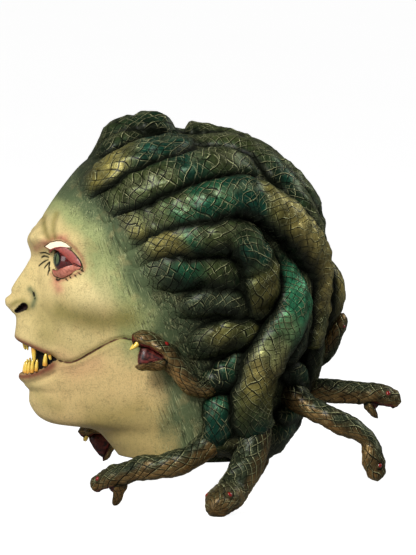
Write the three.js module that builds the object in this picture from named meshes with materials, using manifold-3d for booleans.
// A full-head latex mask of a snake-haired gorgon, standing upright on the chins of its lower snakes.
// Millimetres, +Z up. The face looks towards -Y, and the mask's left side is +X. Z = 0 is the table.
// The head skin is one casting: face, neck and the hair of snakes in relief, with an empty inside.
// The ten snakes that stand free of the head are castings of their own, glued to it by their roots.
import * as THREE from "three";
import { mergeVertices } from "three/addons/utils/BufferGeometryUtils.js";
import Module from "manifold-3d";

const wasm = await Module();
wasm.setup();

// Driving dimensions
const wall = 3.5; // the latex of the face and neck
const glueGap = 0.3; // between a free snake's root and the skin it is glued to
const hemHeight = 36; // the neck's lower edge, above the table
const sightTilt = 0.105; // routes are drawn on a side view from 6 degrees above, so z rises by this much of x

// The head form, from neck to crown: each ring's front and back point as [y, z], its half width at x, and
// taper, the share by which it is narrower in front than behind.
const rings = [
  { front: [-62, 28], back: [50, 28], halfWidth: 55, taper: 0.1 },
  { front: [-75, 46], back: [58, 48], halfWidth: 56, taper: 0.12 },
  { front: [-88, 56.5], back: [66, 66], halfWidth: 57, taper: 0.2 },
  { front: [-122, 61.5], back: [72, 88], halfWidth: 57, taper: 0.36 },
  { front: [-136.5, 74], back: [78, 108], halfWidth: 58, taper: 0.38 },
  { front: [-139.5, 94], back: [83, 130], halfWidth: 62, taper: 0.32 },
  { front: [-141.5, 118], back: [86, 153], halfWidth: 68, taper: 0.26 },
  { front: [-140, 145], back: [88, 175], halfWidth: 75, taper: 0.18 },
  { front: [-135, 172], back: [89, 196], halfWidth: 80, taper: 0.12 },
  { front: [-134.5, 196], back: [88, 215], halfWidth: 82, taper: 0.1 },
  { front: [-138, 212], back: [85, 229], halfWidth: 82, taper: 0.08 },
  { front: [-127, 231], back: [77, 246], halfWidth: 78, taper: 0.06 },
  { front: [-114, 250], back: [64, 262], halfWidth: 70, taper: 0.04 },
  { front: [-97, 270], back: [44, 276], halfWidth: 56, taper: 0.03 },
  { front: [-76, 283], back: [18, 286], halfWidth: 37, taper: 0.02 },
  { front: [-52, 290.5], back: [-8, 291.5], halfWidth: 17, taper: 0 },
  { front: [-30, 293], back: [-30, 293], halfWidth: 0, taper: 0 },
];
const crown = rings.length - 1;
const rowsBetweenRings = [1, 1, 1, 2, 3, 5, 3, 3, 3, 1, 1, 1, 1, 1, 1, 1];

// Small maths
const clamp = (v, low, high) => Math.min(high, Math.max(low, v));
const mix = (a, b, t) => a + (b - a) * t;
function smoothStep(low, high, v) {
  const t = clamp((v - low) / (high - low), 0, 1);
  return t * t * (3 - 2 * t);
}
function catmull(a, b, c, d, t) {
  return b + 0.5 * t * (c - a + t * (2 * a - 5 * b + 4 * c - d + t * (3 * (b - c) + d - a)));
}
// The value at v of a table of [v, value] rows.
function lookUp(table, v) {
  if (v <= table[0][0]) return table[0][1];
  for (let i = 1; i < table.length; i++) {
    const [here, value] = table[i];
    const [before, last] = table[i - 1];
    if (v <= here) return mix(last, value, (v - before) / (here - before));
  }
  return table.at(-1)[1];
}
const hill = (x, z, at) => Math.exp(-(((x - at.x) / at.wide) ** 2) - ((z - at.z) / at.high) ** 2);

// Solids
function solidOf(geometry) {
  const bare = geometry.clone();
  bare.deleteAttribute("normal");
  bare.deleteAttribute("uv");
  const merged = mergeVertices(bare, 1e-4);
  return new wasm.Manifold(
    new wasm.Mesh({
      numProp: 3,
      vertProperties: merged.attributes.position.array,
      triVerts: new Uint32Array(merged.index.array),
    }),
  );
}
function geometryOf(solid) {
  const { vertProperties, triVerts } = solid.getMesh();
  const geometry = new THREE.BufferGeometry();
  geometry.setAttribute("position", new THREE.BufferAttribute(new Float32Array(vertProperties), 3));
  geometry.setIndex(new THREE.BufferAttribute(new Uint32Array(triVerts), 1));
  geometry.computeVertexNormals();
  return geometry;
}
// A sphere reshaped: place(u, v) gives each vertex, with v = 0 at the top pole and u turning anticlockwise
// as seen from above it.
function shapedSphere(columns, rows, place) {
  const geometry = new THREE.SphereGeometry(1, columns, rows);
  const { position } = geometry.attributes;
  for (let i = 0; i < position.count; i++) {
    const column = i % (columns + 1);
    const row = Math.floor(i / (columns + 1));
    position.setXYZ(i, ...place((column % columns) / columns, row / rows).toArray());
  }
  return solidOf(geometry);
}

// Head form
function ringAt(t) {
  const i = clamp(Math.floor(t), 0, crown - 1);
  const four = [i - 1, i, i + 1, i + 2].map((k) => rings[clamp(k, 0, crown)]);
  const at = (pick) => catmull(...four.map(pick), t - i);
  return {
    frontY: at((r) => r.front[0]),
    frontZ: at((r) => r.front[1]),
    backY: at((r) => r.back[0]),
    backZ: at((r) => r.back[1]),
    halfWidth: Math.max(0, at((r) => r.halfWidth)),
    taper: at((r) => r.taper),
  };
}
// The point of the bare form on ring t, at an angle that starts in front and passes the left side.
function formPoint(t, angle) {
  const r = ringAt(t);
  const c = Math.cos(angle);
  return new THREE.Vector3(
    r.halfWidth * Math.sin(angle) * (1 - r.taper * c),
    (r.frontY + r.backY) / 2 + (c * (r.frontY - r.backY)) / 2,
    (r.frontZ + r.backZ) / 2 + (c * (r.frontZ - r.backZ)) / 2,
  );
}
function formNormal(t, angle) {
  const step = 0.02;
  const up = formPoint(Math.min(t + step, crown - 0.001), angle).sub(formPoint(Math.max(t - step, 0), angle));
  const round = formPoint(t, angle + step).sub(formPoint(t, angle - step));
  return round.lengthSq() < 1e-9 ? new THREE.Vector3(0, 0, 1) : round.cross(up).normalize();
}

// Face
// The middle profile: at each height, how far the face stands forward of the bare form, and how far to each
// side that reaches.
const profile = [
  { z: 66, forward: 2, reach: 20 },
  { z: 78, forward: 2, reach: 20 },
  { z: 87, forward: 1, reach: 24 },
  { z: 92.5, forward: 6, reach: 28 },
  { z: 98, forward: 8.5, reach: 30 },
  { z: 101.5, forward: 7, reach: 31 },
  { z: 104, forward: -5, reach: 31 },
  { z: 124.5, forward: -5, reach: 31 },
  { z: 127, forward: 7, reach: 31 },
  { z: 131, forward: 10.5, reach: 31 },
  { z: 140, forward: 10, reach: 26 },
  { z: 148, forward: 11.7, reach: 15 },
  { z: 154, forward: 19.6, reach: 11.5 },
  { z: 160.8, forward: 22.4, reach: 10.5 },
  { z: 165.6, forward: 19.8, reach: 10 },
  { z: 171, forward: 18, reach: 9.5 },
  { z: 189, forward: 7.4, reach: 8.5 },
  { z: 196, forward: 4, reach: 12 },
  { z: 206, forward: 3.6, reach: 30 },
  { z: 219, forward: 0, reach: 40 },
];
const mouth = { top: 127, bottom: 101.5, cornerX: 33, cornerZ: 116.5 };
const upperLipEdge = (x) => mix(mouth.top, mouth.cornerZ, Math.min(1, x / mouth.cornerX) ** 2.4);
const lowerLipEdge = (x) => mix(mouth.bottom, mouth.cornerZ, Math.min(1, x / mouth.cornerX) ** 3);
const lipFade = { above: 22, below: 16 }; // how far from the lips their closing still bends the face
// The height on the middle profile that belongs to a point beside it: the lips close towards the corners.
function profileHeight(x, z) {
  const [high, low] = [upperLipEdge(x), lowerLipEdge(x)];
  if (z > high) return z + (mouth.top - high) * (1 - smoothStep(0, lipFade.above, z - high));
  if (z < low) return z - (low - mouth.bottom) * (1 - smoothStep(0, lipFade.below, low - z));
  return mix(mouth.bottom, mouth.top, (z - low) / Math.max(0.1, high - low));
}
const forwardTable = profile.map((row) => [row.z, row.forward]);
const reachTable = profile.map((row) => [row.z, row.reach]);
// Hills on the face, as seen from in front, and how far each stands forward: the wings of the nose, the
// brows, the frown between them, and the eye sockets, which lie back.
const faceHills = [
  { x: 13.5, z: 160, wide: 5, high: 7, forward: 8 },
  { x: 30, z: 214, wide: 15, high: 6, forward: 3.5 },
  { x: 22, z: 216, wide: 5, high: 12, forward: 2 },
  { x: 38, z: 194, wide: 18, high: 12, forward: -9 },
];
const faceEdge = { none: -40, full: -75 }; // at this y the face has no relief, and at this y all of it
function faceForward(p) {
  const x = Math.abs(p.x);
  const height = profileHeight(x, p.z);
  const reach = lookUp(reachTable, height);
  const middle = lookUp(forwardTable, height) * Math.exp(-((x / reach) ** 2.6));
  return faceHills.reduce((sum, one) => sum + one.forward * hill(x, p.z, one), middle);
}
// Domes that stand out along the normal, or lie in it: cheekbone, hollow cheek, temple, corner of the jaw and
// wing of the nose.
const domes = [
  { centre: [56, -98, 170], radius: 20, out: 4 },
  { centre: [56, -84, 141], radius: 20, out: -4 },
  { centre: [68, -72, 215], radius: 25, out: -3 },
  { centre: [54, -12, 92], radius: 24, out: 2 },
  { centre: [15, -141, 158], radius: 7, out: 2.2 },
];
function cheekRelief(p) {
  const q = new THREE.Vector3(Math.abs(p.x), p.y, p.z);
  return domes.reduce((sum, { centre, radius, out }) => {
    const share = q.distanceToSquared(new THREE.Vector3(...centre)) / radius ** 2;
    return sum + out * Math.exp(-share);
  }, 0);
}
function facePoint(t, angle, grow) {
  const p = formPoint(t, angle);
  const n = formNormal(t, angle);
  const forward = smoothStep(faceEdge.none, faceEdge.full, p.y) * faceForward(p);
  return p.clone().addScaledVector(n, cheekRelief(p) + grow).add(new THREE.Vector3(0, -forward, 0));
}
// The inside follows the face's hollows but not its nose and lips, so the wall is nowhere too thin.
function insidePoint(t, angle) {
  const p = formPoint(t, angle);
  const n = formNormal(t, angle);
  const back = Math.max(0, smoothStep(faceEdge.none, faceEdge.full, p.y) * -faceForward(p));
  return p.clone().addScaledVector(n, Math.min(0, cheekRelief(p)) - wall).add(new THREE.Vector3(0, back, 0));
}
// A closed head from the neck's end cap to the crown, its columns closest together in front.
function headSolid(columns, rowCounts, crowding, point) {
  const stops = [crown];
  for (let i = crown - 1; i >= 0; i--)
    for (let k = rowCounts[i] - 1; k >= 0; k--) stops.push(i + k / rowCounts[i]);
  const capCentre = formPoint(0, 0).add(formPoint(0, Math.PI)).multiplyScalar(0.5);
  return shapedSphere(columns, stops.length, (u, v) => {
    const row = Math.round(v * stops.length);
    if (row === stops.length) return capCentre;
    return point(stops[row], 2 * Math.PI * u - crowding * Math.sin(2 * Math.PI * u));
  });
}

// Eyes: a ball in each socket between fleshy lids, under a see-through slit
const eye = { x: 36, y: -106, z: 196, radius: 14, turn: THREE.MathUtils.degToRad(36) };
const lids = { halfWidth: 19, halfHeight: 10.5, thickness: 4, forward: 6, tilt: 0.12 };
function eyeball(side) {
  const ball = shapedSphere(8, 6, (u, v) => {
    const [out, up] = [Math.sin(Math.PI * v), Math.cos(Math.PI * v)];
    return new THREE.Vector3(out * Math.sin(2 * Math.PI * u), -out * Math.cos(2 * Math.PI * u), up);
  });
  return ball.scale(eye.radius).translate([side * eye.x, eye.y, eye.z]);
}
function eyelids(side) {
  const ring = new THREE.TorusGeometry(1, lids.thickness / lids.halfWidth, 4, 10);
  ring.scale(lids.halfWidth, lids.halfHeight, lids.halfWidth);
  ring.rotateX(Math.PI / 2);
  ring.translate(0, -lids.forward, 0);
  ring.rotateY(side * lids.tilt);
  ring.rotateZ(side * eye.turn);
  ring.translate(side * eye.x, eye.y, eye.z);
  return solidOf(ring);
}
// Both slits are one crescent in side view, cut straight across the head.
function sightSlits() {
  const crescent = new THREE.Shape();
  crescent.moveTo(-126.8, 205.6);
  crescent.quadraticCurveTo(-116, 217.3, -105, 206.9);
  crescent.quadraticCurveTo(-114, 207.9, -122.5, 203.4);
  crescent.closePath();
  const depth = 130; // long enough to cut both sides of the skin
  const bar = new THREE.ExtrudeGeometry(crescent, { depth, bevelEnabled: false, curveSegments: 5 });
  bar.translate(0, 0, -depth / 2);
  bar.rotateX(Math.PI / 2);
  bar.rotateZ(Math.PI / 2);
  return solidOf(bar);
}

// Teeth: [x, length] of the fangs on the left side, and their mirror images
const teeth = {
  upper: [[3.5, 7], [10.5, 6], [19, 12.5], [31, 3]],
  lower: [[3, 9], [8.5, 10], [15, 10], [21, 9], [28, 10]],
};
const toothShape = { radius: 2.3, root: 2 };
const toothRow = { y: -144.5, curve: 0.022 }; // the row bends back with the square of x
function tooth(x, length, isUpper) {
  const fang = new THREE.ConeGeometry(toothShape.radius, length + toothShape.root, 5);
  fang.rotateX(isUpper ? -Math.PI / 2 : Math.PI / 2);
  const edge = isUpper ? upperLipEdge(Math.abs(x)) : lowerLipEdge(Math.abs(x));
  const middle = (length - toothShape.root) / 2;
  fang.translate(x, toothRow.y + toothRow.curve * x * x, edge + (isUpper ? -middle : middle));
  return solidOf(fang);
}
function allTeeth() {
  const made = [];
  for (const side of [-1, 1]) {
    for (const [x, length] of teeth.upper) made.push(tooth(side * x, length, true));
    for (const [x, length] of teeth.lower) made.push(tooth(side * x, length, false));
  }
  return made;
}
const nostril = { x: 9.5, y: -145.6, z: 155, halfLength: 5, halfHeight: 3.2 };
function nostrils() {
  const pit = new THREE.SphereGeometry(1, 6, 5);
  pit.scale(nostril.halfLength, nostril.halfLength, nostril.halfHeight);
  const made = solidOf(pit);
  const { x, y, z } = nostril;
  return made.translate([x, y, z]).add(made.translate([-x, y, z]));
}

// Seating routes on the head: the one coordinate that a route point leaves out (null) is found so that the
// point stands that far above the bare form.
const formSamples = [];
for (let t = 0; t <= crown - 0.2; t += 0.25)
  for (let k = 0; k < 64; k++) {
    const angle = (2 * Math.PI * k) / 64;
    formSamples.push({ p: formPoint(t, angle), n: formNormal(t, angle) });
  }
function nearestOnForm(q) {
  let nearest = formSamples[0];
  let least = Infinity;
  for (const sample of formSamples) {
    const d = sample.p.distanceToSquared(q);
    if (d < least) [least, nearest] = [d, sample];
  }
  return nearest;
}
function heightAboveForm(q) {
  const { p, n } = nearestOnForm(q);
  return q.clone().sub(p).dot(n);
}
function seat([x, y, z], height) {
  if (x !== null && y !== null && z !== null) return new THREE.Vector3(x, y, z);
  const [start, end] = z === null ? [200, 330] : [0, 130];
  const place = (v) => {
    if (x === null) return new THREE.Vector3(v, y, z + sightTilt * v);
    return y === null ? new THREE.Vector3(x, v, z) : new THREE.Vector3(x, y, v);
  };
  for (let v = start; v < end; v += 1.5) if (heightAboveForm(place(v)) >= height) return place(v);
  return place(end);
}

// Snakes
// The radius and rise swell from a first value to a second and end at a third.
function threeStage([first, middle, last], t) {
  return t < 0.5 ? mix(first, middle, smoothStep(0, 0.36, t)) : mix(middle, last, smoothStep(0.65, 1, t));
}
// An oval tube along a curve. stops are the shares of the curve at which it has a cross-section; corners the
// angles of a cross-section's corners from the top; section(t) gives its half width, its height over the
// middle, its lift and, where it is not the height, its depth under the middle.
function tube(curve, stops, corners, topAt, section) {
  return shapedSphere(corners.length, stops.length - 1, (u, v) => {
    const t = stops[stops.length - 1 - Math.round(v * (stops.length - 1))];
    const middle = curve.getPointAt(t);
    const along = curve.getTangentAt(t);
    const side = new THREE.Vector3().crossVectors(along, topAt(middle)).normalize();
    const top = new THREE.Vector3().crossVectors(side, along);
    const angle = THREE.MathUtils.degToRad(corners[Math.round(u * corners.length)]);
    const { wide, high, lift, deep = high } = section(t);
    const tall = Math.cos(angle) > 0 ? high : deep;
    middle.addScaledVector(top, tall * Math.cos(angle) + lift);
    return middle.addScaledVector(side, wide * Math.sin(angle));
  });
}
// The shares of a body of this length at which it has a cross-section, with both ends shut by a blunt point.
function evenStops(length, spacing) {
  const count = Math.max(4, Math.round(length / spacing));
  const between = Array.from({ length: count + 1 }, (_, i) => mix(0.02, 0.98, i / count));
  return [0, ...between, 1];
}

// Hair snakes of the left side, which the right side mirrors. A route point is [x, y, z]; rise is the height
// of the body's middle above the form, as a share of its radius. A body that starts or ends under the skin is
// flattened there, so that it grows out of the skin.
const pairedHair = [
  { route: [[null, -88, 272], [null, -76, 280], [null, -62, 287], [null, -44, 291], [null, -27, 294]],
    radii: [7, 10, 8], rise: [-0.5, 0.1, -0.6] },
  { route: [[null, -97, 244], [null, -88, 252], [null, -76, 260], [null, -60, 269], [null, -45, 275],
      [null, -30, 279], [null, -15, 282], [null, 1, 284]],
    radii: [13, 12.5, 8], rise: [-0.5, 0.1, -1.1] },
  { route: [[null, -84, 231], [null, -71, 238], [null, -56, 245], [null, -33, 254], [null, -13, 262],
      [null, 7, 267], [null, 22, 267], [null, 38, 260], [null, 50, 246]],
    radii: [12, 13, 10], rise: [-0.5, 0.08, -1.1] },
  { route: [[null, -70, 211], [null, -56, 217], [null, -33, 226], [null, -15, 231], [null, 7, 237],
      [null, 25, 242], [null, 41, 239], [null, 56, 230], [null, 70, 218], [null, 81, 204], [27, null, 188],
      [21, null, 168], [20, null, 146], [26, null, 124]],
    radii: [13, 14.5, 12], rise: [-0.5, 0.3, 0.3] },
  { route: [[null, -60, 192], [null, -46, 198], [null, -18, 207], [null, 7, 210], [null, 25, 210],
      [null, 38, 199], [null, 44, 185], [null, 46, 170], [null, 43, 156], [null, 37, 145], [null, 28, 136]],
    radii: [10, 12.5, 11], rise: [-0.5, 0.2, -0.9] },
  { route: [[null, -54, 176], [null, -42, 180], [null, -26, 184], [null, -8, 186], [null, 10, 184],
      [null, 27, 177], [null, 40, 166]],
    radii: [11, 16, 12], rise: [-1, -0.62, -0.9] },
  { route: [[null, -24, 151], [null, -15, 154], [null, -4, 157], [null, 9, 159], [null, 21, 158],
      [null, 32, 150], [null, 38, 138]],
    radii: [7, 9.5, 8], rise: [-1, -0.1, -0.8] },
  { route: [[null, -16, 120], [null, -8, 122], [null, 2, 127], [null, 14, 131], [null, 26, 134],
      [null, 40, 130], [null, 50, 120]],
    radii: [9, 11.5, 9], rise: [-1, -0.1, -0.8] },
  { route: [[null, -2, 94], [null, 8, 95], [null, 20, 101], [null, 30, 109], [null, 38, 118]],
    radii: [9, 11, 9], rise: [-0.3, 0, -0.6] },
  { route: [[null, 50, 208], [null, 61, 188], [null, 67, 172], [null, 70, 158], [null, 66, 142],
      [null, 57, 127], [null, 48, 112], [null, 42, 97], [null, 38, 80], [null, 38, 66], [null, 40, 54]],
    radii: [8, 14, 14], rise: [-0.6, 0.5, 0.35] },
  { route: [[null, 63, 203], [null, 74, 184], [46, null, 164], [42, null, 146], [40, null, 130],
      [44, null, 114]],
    radii: [8, 11, 10], rise: [-1, 0.2, -0.1] },
  { route: [[null, 62, 108], [null, 72, 100], [null, 76, 88], [null, 74, 76], [null, 65, 67], [null, 54, 62]],
    radii: [8, 10, 9], rise: [-0.1, 0.35, -0.1] },
  { route: [[null, 4, 44], [null, 20, 48], [null, 37, 44], [null, 53, 50], [null, 65, 62], [12, null, 76]],
    radii: [10, 13, 11], rise: [-0.2, 0.1, 0] },
  { route: [[null, 7, 84], [null, 12, 70], [null, 12, 56], [null, 8, 44]],
    radii: [9, 11, 10], rise: [-0.2, 0.1, 0] },
  { route: [[15, -34, null], [16, -14, null], [17, 4, null], [18, 20, null], [22, 36, null], [26, 50, null],
      [29, null, 246], [26, null, 230], [15, null, 212], [8, null, 196]],
    radii: [8, 10.5, 10], rise: [-1, 0.12, -0.2] },
];
// Hair snakes along the middle of the head.
const middleHair = [
  { route: [[0, -92, null], [0, -80, null], [0, -66, null], [0, -53, null], [0, -40, null], [0, -25, null],
      [0, -10, null]],
    radii: [7, 13, 8], rise: [-0.8, 0.42, -0.6] },
  { route: [[0, -16, null], [-2, 8, null], [0, 32, null], [3, 50, null], [4, null, 250], [2, null, 230],
      [-3, null, 210], [-6, null, 194]],
    radii: [10, 12, 10], rise: [0.1, -0.15, -0.3] },
  { route: [[-14, null, 206], [-3, 89, 192], [3, 100, 176], [3, 101, 160], [-2, 94, 144], [-10, null, 124]],
    radii: [8, 11.5, 10], rise: [-0.4, 0.5, 0.3] },
  { route: [[14, null, 142], [10, null, 126], [6, null, 110], [6, null, 94], [0, null, 78]],
    radii: [8, 11, 10], rise: [0.3, 0.45, 0] },
];
const hairCorners = [0, 60, 120, 240, 300];
const hairSpacing = 36;
const hairBreadth = 1.28; // bodies are this much wider than high, so that neighbours meet in a narrow crease
const flatness = (rise) => (rise < -0.3 ? Math.min(1, -rise - 0.05) : 1);
function hairSnake({ route, radii, rise }, side, grow) {
  const last = route.length - 1;
  const points = route.map((point, i) => {
    const p = seat(point, threeStage(rise, i / last) * threeStage(radii, i / last));
    return new THREE.Vector3(side * p.x, p.y, p.z);
  });
  const curve = new THREE.CatmullRomCurve3(points, false, "centripetal");
  const stops = evenStops(curve.getLength(), hairSpacing);
  return tube(curve, stops, hairCorners, (middle) => nearestOnForm(middle).n, (t) => {
    const r = t === 0 || t === 1 ? 0 : threeStage(radii, t);
    const high = r * threeStage([flatness(rise[0]), 1, flatness(rise[2])], t);
    return { wide: hairBreadth * r + Math.min(r, grow), high: high + Math.min(r, grow), lift: 0 };
  });
}
function allHair(grow) {
  const made = middleHair.map((snake) => hairSnake(snake, 1, grow));
  for (const snake of pairedHair) made.push(hairSnake(snake, 1, grow), hairSnake(snake, -1, grow));
  return made;
}

// Head skin
// Columns of points round the outside and the inside, and how far they crowd towards the face.
const outsideColumns = { count: 24, crowding: 0.62 };
const insideColumns = { count: 16, crowding: 0.4 };
function headWithHair(grow) {
  const { count, crowding } = outsideColumns;
  const head = headSolid(count, rowsBetweenRings, crowding, (t, angle) => facePoint(t, angle, grow));
  return allHair(grow).reduce((all, one) => all.add(one), head);
}
const blockSize = { width: 400, height: 100 };
// A block that reaches past the object on every side, with its top at a height.
function blockUnder(top) {
  const { width, height } = blockSize;
  const geometry = new THREE.BoxGeometry(width, width, height);
  geometry.translate(0, 0, top - height / 2);
  return solidOf(geometry);
}
const everyRing = rowsBetweenRings.map(() => 1);
const inside = headSolid(insideColumns.count, everyRing, insideColumns.crowding, insidePoint);
const features = [eyeball(1), eyeball(-1), eyelids(1), eyelids(-1), ...allTeeth()];
const outside = features.reduce((all, one) => all.add(one), headWithHair(0));
const cuts = [inside, sightSlits(), nostrils(), blockUnder(hemHeight)];
const skin = cuts.reduce((all, one) => all.subtract(one), outside);

// Free snakes: the route of the body in space, its radii, and the head at its end: the tip of the snout, the
// way the top of the head faces and its half width. An open mouth has a gape in degrees, the jaw's length as
// a share of the head's in front of the hinge, the palate's depth as a share of the skull's height, the
// fangs' length as a share of the half width, and how far along the jaw the flesh between the jaws reaches.
const freeSnakes = {
  cheek_snake_left: {
    route: [[50, 16, 104], [61, 5, 98], [69, -6, 99], [73, -14, 105.5], [74, -20.5, 114.5]],
    radii: [10, 9.5, 9], tip: [76, -57.5, 140], top: [-0.25, 0.45, 0.85], halfWidth: 14,
    gape: 46, jaw: 0.74, palate: 0.26, fangs: 0.75, lining: 0.88,
  },
  throat_snake_left: {
    route: [[46, 16, 60], [58, 2, 50], [64, -13, 40], [66, -35, 34], [62, -49, 32.5], [55, -62, 27.5]],
    radii: [12, 10.5, 9.5], tip: [36, -89, 12.5], top: [0.25, -0.1, 1], halfWidth: 11.5,
    gape: 47, jaw: 0.84, palate: 0.75, fangs: 0, lining: 0.5,
  },
  bottom_snake_left: {
    route: [[54, 40, 58], [62, 37, 42], [72, 29, 26], [83, 22, 16]], radii: [14, 13.5, 13],
    tip: [116.5, 7, 5.5], top: [0.2, -0.2, 1], halfWidth: 15,
  },
  nape_snake_left: {
    route: [[28, 72, 86], [36, 84, 78], [41, 97, 72], [44, 111, 65], [44, 123, 59], [43, 131, 52]],
    radii: [12, 9.5, 7], tip: [42, 138.5, 19], top: [0.1, 1, 0.1], halfWidth: 11.5,
  },
  nape_snake_middle: {
    route: [[-2, 72, 91], [0, 86, 88.5], [1, 98, 87], [1, 112, 86], [0, 125, 85]], radii: [12, 10, 9.5],
    tip: [-4, 158, 76], top: [0.1, 0.1, 1], halfWidth: 12.2,
    gape: 50, jaw: 0.66, palate: 0.65, fangs: 0, lining: 0.5,
  },
  back_snake: {
    route: [[-4, 78, 108], [-4, 90, 112], [-4, 98, 119], [-4, 102, 127]], radii: [8, 7.5, 7.5],
    tip: [-5, 112, 149], top: [0, 1, 0.2], halfWidth: 9.5,
  },
  cheek_snake_right: {
    route: [[-50, 18, 98], [-62, 6, 92], [-70, -8, 92], [-74, -20, 97], [-75, -29, 103]],
    radii: [10, 9.5, 9], tip: [-71, -61, 117], top: [-0.45, -0.2, 0.8], halfWidth: 11,
  },
  throat_snake_right: {
    route: [[-44, 18, 62], [-54, 4, 54], [-60, -14, 48], [-61, -32, 45], [-58, -50, 46], [-54, -62, 47]],
    radii: [11, 9.5, 8.5], tip: [-46, -102, 47], top: [-0.1, 0, 1], halfWidth: 11,
    gape: 66, jaw: 0.8, palate: 0.35, fangs: 0.72, lining: 0.85,
  },
  bottom_snake_right: {
    route: [[-54, 44, 60], [-63, 44, 42], [-73, 41, 25], [-84, 37, 14.5]], radii: [13, 12.5, 12],
    tip: [-117, 30, 5], top: [-0.2, 0, 1], halfWidth: 14,
  },
  side_snake_right: {
    route: [[-46, 56, 102], [-60, 64, 96], [-73, 69, 91], [-86, 70, 88]], radii: [12, 10.5, 9.5],
    tip: [-117, 60, 84], top: [0, 0, 1], halfWidth: 12,
  },
};
const roundCorners = [0, 60, 120, 180, 240, 300];
const bodySpacing = 19;
// Half width and half height along a head from neck to snout, as shares of the head's half width.
const skullWidth = [[0, 0.7], [0.25, 0.98], [0.4, 1], [0.66, 0.78], [0.88, 0.62], [1, 0.54]];
const skullHeight = [[0, 0.7], [0.25, 0.8], [0.5, 0.82], [0.75, 0.7], [1, 0.6]];
const skullStops = [0.2, 0.42, 0.66, 0.86, 0.97, 1];
// Depth under the middle as a share of the height over it: of a closed skull, and of an open one's snout.
const closedPalate = 0.92;
const snoutDepth = 0.9;
const openLift = 0.1; // how far an open-mouthed skull stands over its middle line, in half widths
// The hinge of a jaw: how far along the head it lies, and how far under the skull's middle, times the palate.
const hinge = { at: 0.27, under: 0.48 };
// The jaw: its width in half widths of the head, its height and depth as shares of that, and its root.
const jawShape = { width: 0.84, high: 0.14, deep: 0.62, root: 0.3, hang: 0.12 };
const jawStops = [0, 0.05, 0.35, 0.6, 0.85, 0.97, 1];
const jawTaper = [[0, 0.7], [0.3, 1], [0.7, 0.78], [1, 0.62]];
// The wedge of flesh between the jaws: its half width and height at the hinge, how far its root is sunk
// behind it, and the share of its width that it loses.
const liningShape = { wide: 0.5, high: 0.12, root: 0.15, narrowing: 0.35 };
const liningStops = [0, 0.12, 0.5, 0.88, 1];
const fangShape = { at: 0.84, aside: 0.32, radius: 0.13 };
const snoutRounding = (s) => (s < 0.8 ? 1 : Math.sqrt(Math.max(0, 1 - ((s - 0.8) / 0.2) ** 2)));
// The jaw, lining and fangs of a gaping head. axis runs from neck to snout, up and across are square to it.
function openMouth({ neck, axis, up, across, headLength }, { halfWidth, gape, jaw, palate, fangs, lining }) {
  const angle = THREE.MathUtils.degToRad(gape);
  const turned = (along, over) => axis.clone().multiplyScalar(along).addScaledVector(up, over);
  const drop = turned(Math.cos(angle), -Math.sin(angle));
  const jawUp = turned(Math.sin(angle), Math.cos(angle));
  const start = neck.clone().addScaledVector(axis, hinge.at * headLength);
  start.addScaledVector(up, -hinge.under * palate * halfWidth);
  const reach = jaw * (1 - hinge.at) * headLength;
  const curve = new THREE.CatmullRomCurve3(
    [
      start.clone().addScaledVector(axis, -jawShape.root * reach),
      start.clone().addScaledVector(up, -jawShape.hang * halfWidth),
      start.clone().addScaledVector(drop, reach / 2),
      start.clone().addScaledVector(drop, reach),
    ],
    false,
    "centripetal",
  );
  const jawTube = tube(curve, jawStops, roundCorners, () => jawUp, (s) => {
    const size = s === 0 ? 0 : halfWidth * jawShape.width * snoutRounding(s);
    const wide = size * lookUp(jawTaper, s);
    return { wide, high: jawShape.high * size, deep: jawShape.deep * wide, lift: 0 };
  });
  const halfway = axis.clone().add(drop).normalize();
  const liningCurve = new THREE.LineCurve3(
    start.clone().addScaledVector(halfway, -liningShape.root * halfWidth),
    start.clone().addScaledVector(halfway, lining * reach),
  );
  const liningUp = up.clone().add(jawUp).normalize();
  const liningTube = tube(liningCurve, liningStops, roundCorners, () => liningUp, (s) => {
    if (s === 0 || s === 1) return { wide: 0, high: 0, lift: 0 };
    const wide = halfWidth * liningShape.wide * (1 - liningShape.narrowing * s);
    const high = liningShape.high * halfWidth + s * lining * reach * Math.tan(angle / 2);
    return { wide, high, lift: 0 };
  });
  const made = [jawTube, liningTube];
  for (const side of fangs > 0 ? [-1, 1] : []) {
    const fang = new THREE.ConeGeometry(fangShape.radius * halfWidth, fangs * halfWidth, 5);
    const root = neck.clone().addScaledVector(axis, fangShape.at * headLength);
    root.addScaledVector(across, side * fangShape.aside * halfWidth);
    root.addScaledVector(up, (-fangs * halfWidth) / 2);
    fang.applyQuaternion(new THREE.Quaternion().setFromUnitVectors(new THREE.Vector3(0, -1, 0), up));
    fang.translate(root.x, root.y, root.z);
    made.push(solidOf(fang));
  }
  return made;
}
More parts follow.
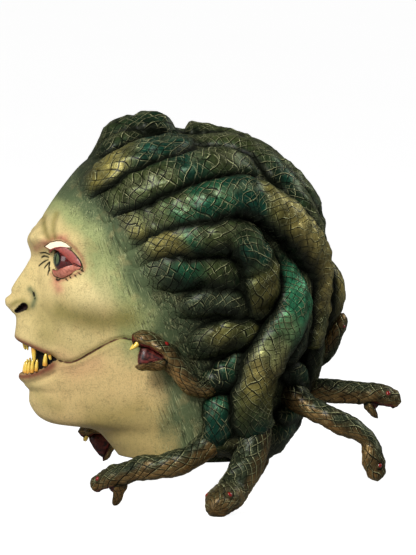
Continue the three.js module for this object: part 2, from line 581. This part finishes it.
function freeSnake(snake) {
  const { route, radii, tip, top, halfWidth, gape = 0, palate = closedPalate } = snake;
  const points = route.map((p) => new THREE.Vector3(...p));
  const neck = points.at(-1);
  const snout = new THREE.Vector3(...tip);
  const halfway = neck.clone().lerp(snout, 0.5);
  const curve = new THREE.CatmullRomCurve3([...points, halfway, snout], false, "centripetal");
  const headLength = neck.distanceTo(snout);
  const neckAt = 1 - headLength / curve.getLength();
  const bodyStops = evenStops(curve.getLength() - headLength, bodySpacing).slice(0, -1);
  const stops = [...bodyStops.map((t) => t * neckAt), ...skullStops.map((s) => mix(neckAt, 1, s))];
  const axis = snout.clone().sub(neck).normalize();
  const up = new THREE.Vector3(...top);
  up.addScaledVector(axis, -up.dot(axis)).normalize();
  const across = new THREE.Vector3().crossVectors(axis, up);
  const whole = tube(curve, stops, roundCorners, () => up, (t) => {
    const r = t === 0 ? 0 : threeStage(radii, Math.min(1, t / neckAt));
    const s = clamp((t - neckAt) / (1 - neckAt), 0, 1);
    const inHead = smoothStep(0, 0.25, s);
    const shut = snoutRounding(s);
    const high = mix(r, halfWidth * lookUp(skullHeight, s), inHead) * shut;
    const inside = mix(closedPalate, palate, smoothStep(hinge.at - 0.1, hinge.at + 0.12, s));
    const under = Math.max(inside, snoutDepth * smoothStep(0.5, 0.92, s));
    return {
      wide: mix(r, halfWidth * lookUp(skullWidth, s), inHead) * shut,
      high,
      deep: high * mix(1, under, inHead),
      lift: gape > 0 ? openLift * halfWidth * inHead : 0,
    };
  });
  if (gape === 0) return whole;
  return openMouth({ neck, axis, up, across, headLength }, snake).reduce((all, one) => all.add(one), whole);
}
// The biggest of a cut solid's bodies, which is all of it but crumbs.
function mainBody(solid) {
  return solid.decompose().sort((a, b) => b.volume() - a.volume())[0];
}
const skinClearance = headWithHair(glueGap);

// Colours of the painted latex
const paint = {
  skin: new THREE.MeshStandardMaterial({ color: 0x6f7f55, roughness: 0.45, metalness: 0 }),
  snake: new THREE.MeshStandardMaterial({ color: 0x4a4a2c, roughness: 0.4, metalness: 0 }),
};
const mask = new THREE.Group();
function addMesh(name, solid, material) {
  const mesh = new THREE.Mesh(geometryOf(solid), material);
  mesh.name = name;
  mask.add(mesh);
}
addMesh("head_skin", mainBody(skin), paint.skin);
for (const [name, snake] of Object.entries(freeSnakes)) {
  const loose = freeSnake(snake).subtract(skinClearance).subtract(blockUnder(0));
  addMesh(name, mainBody(loose), paint.snake);
}

export default mask;
